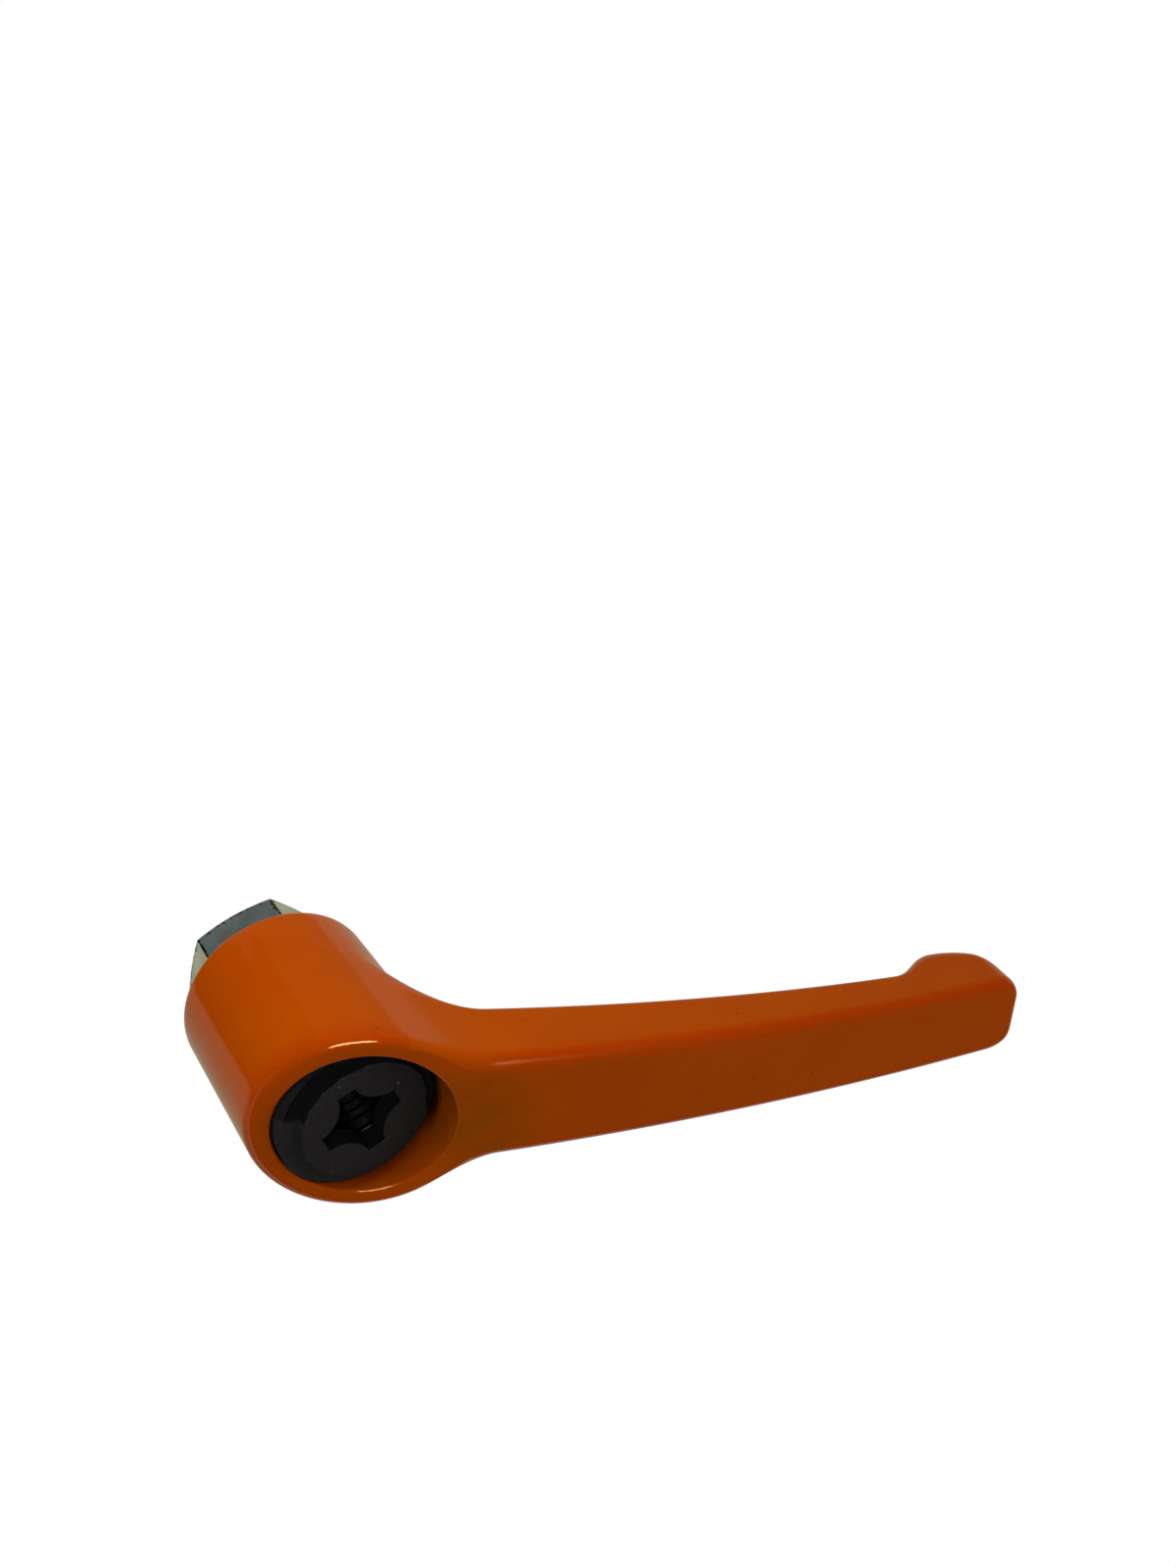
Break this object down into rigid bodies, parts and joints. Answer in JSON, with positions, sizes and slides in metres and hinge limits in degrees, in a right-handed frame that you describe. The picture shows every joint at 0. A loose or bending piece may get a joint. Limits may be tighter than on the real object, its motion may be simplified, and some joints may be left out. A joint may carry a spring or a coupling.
{
  "type": "adjustable clamping lever",
  "caption": "Clamping lever with an orange cast handle and finger stop, sprung on a serrated steel insert with a hexagonal foot and a through thread, under a black retaining cap.",
  "frame": {"origin": "centre of the insert's end face, where the stud enters the thread", "axes": "+Z along the hub's axis from the clamping face up through the hub, +X along the arm"},
  "size_m": [0.0934, 0.0246, 0.0592],
  "materials": {
    "orange_powder_coat": "glossy powder coat with slight orange peel",
    "zinc_plated_steel": "bright zinc plating",
    "black_plastic": "matt moulded",
    "spring_steel": "drawn wire"
  },
  "bodies": {
    "insert": {"threaded_insert": "zinc_plated_steel", "retaining_cap": "black_plastic"},
    "lift": {"compression_spring": "spring_steel"},
    "handle": {"handle": "orange_powder_coat"}
  },
  "joints": [
    {"name": "handle_lift", "type": "slide", "parent": "insert", "child": "lift", "axis": [0, 0, 1], "range_m": [0, 0.005], "stiffness_N_per_m": 1500, "springref_m": -0.004, "deforming": ["compression_spring"]},
    {"name": "handle_turn", "type": "hinge", "parent": "lift", "child": "handle", "pos_m": [0, 0, 0], "axis": [0, 0, 1], "continuous": true}
  ]
}
